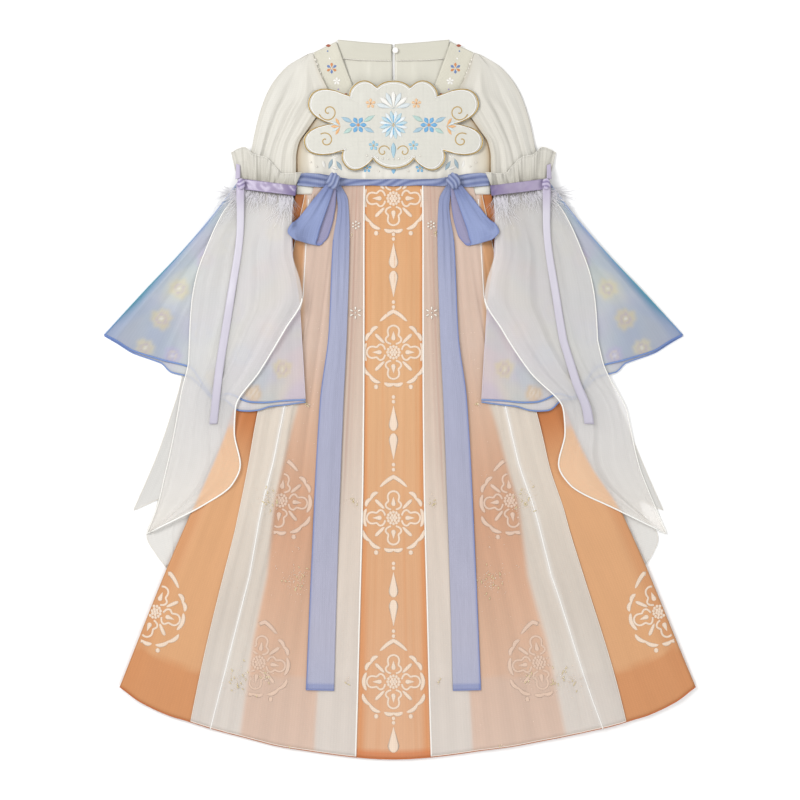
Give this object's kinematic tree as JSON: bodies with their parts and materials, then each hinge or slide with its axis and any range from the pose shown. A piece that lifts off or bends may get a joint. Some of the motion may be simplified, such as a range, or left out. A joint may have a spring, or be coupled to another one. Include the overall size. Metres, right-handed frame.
{
  "type": "hanfu dress",
  "caption": "Child's hanfu dress laid flat: satin bodice, sash bows, sheer layered skirt and belled organza sleeves.",
  "frame": {"origin": "middle of the dress's length and width, on the surface that it lies on", "axes": "+X across the dress to the picture's right, +Y along it from hem to neck, +Z away from the surface"},
  "size_m": [0.8041, 0.9779, 0.0402],
  "materials": {
    "cream_satin": "soft satin",
    "orange_organza": "printed organza",
    "lining": "smooth lining cloth",
    "overskirt_organza": "sheer dyed organza",
    "blue_sash": "crinkled chiffon",
    "bell_organza": "sheer printed organza",
    "veil_organza": "plain sheer organza",
    "lilac_ribbon": "glossy satin ribbon",
    "feather": "soft feather down",
    "embroidery": "stiff embroidered cloth",
    "pearl": "pearly plastic"
  },
  "bodies": {
    "root": {"back_bodice_left": "cream_satin", "back_bodice_right": "cream_satin", "back_button": "pearl", "back_collar_left": "cream_satin", "back_collar_right": "cream_satin", "bell_back_left": "bell_organza", "bell_back_right": "bell_organza", "bell_front_left": "bell_organza", "bell_front_right": "bell_organza", "bell_inner_left": "cream_satin", "bell_inner_right": "cream_satin", "bow_loop_left": "blue_sash", "bow_loop_right": "blue_sash", "chest_plaque": "embroidery", "feather_trim_left": "feather", "feather_trim_right": "feather", "frill_left": "veil_organza", "frill_right": "veil_organza", "front_bodice": "cream_satin", "neck_strap_left": "embroidery", "neck_strap_right": "embroidery", "overskirt_left": "overskirt_organza", "overskirt_right": "overskirt_organza", "ribbon_band_back_left": "lilac_ribbon", "ribbon_band_back_right": "lilac_ribbon", "ribbon_band_left": "lilac_ribbon", "ribbon_band_right": "lilac_ribbon", "ribbon_end_left": "lilac_ribbon", "ribbon_end_right": "lilac_ribbon", "ribbon_knot_left": "lilac_ribbon", "ribbon_knot_right": "lilac_ribbon", "ribbon_tail_left": "lilac_ribbon", "ribbon_tail_right": "lilac_ribbon", "sash_back": "blue_sash", "sash_front": "blue_sash", "sash_knot_left": "blue_sash", "sash_knot_right": "blue_sash", "sash_tail_left": "blue_sash", "sash_tail_right": "blue_sash", "skirt_back": "orange_organza", "skirt_front": "orange_organza", "skirt_lining": "lining", "upper_sleeve_back_left": "cream_satin", "upper_sleeve_back_right": "cream_satin", "upper_sleeve_left": "cream_satin", "upper_sleeve_right": "cream_satin", "veil_back_left": "veil_organza", "veil_back_right": "veil_organza", "veil_front_left": "veil_organza", "veil_front_right": "veil_organza", "waistband": "cream_satin"}
  },
  "joints": []
}
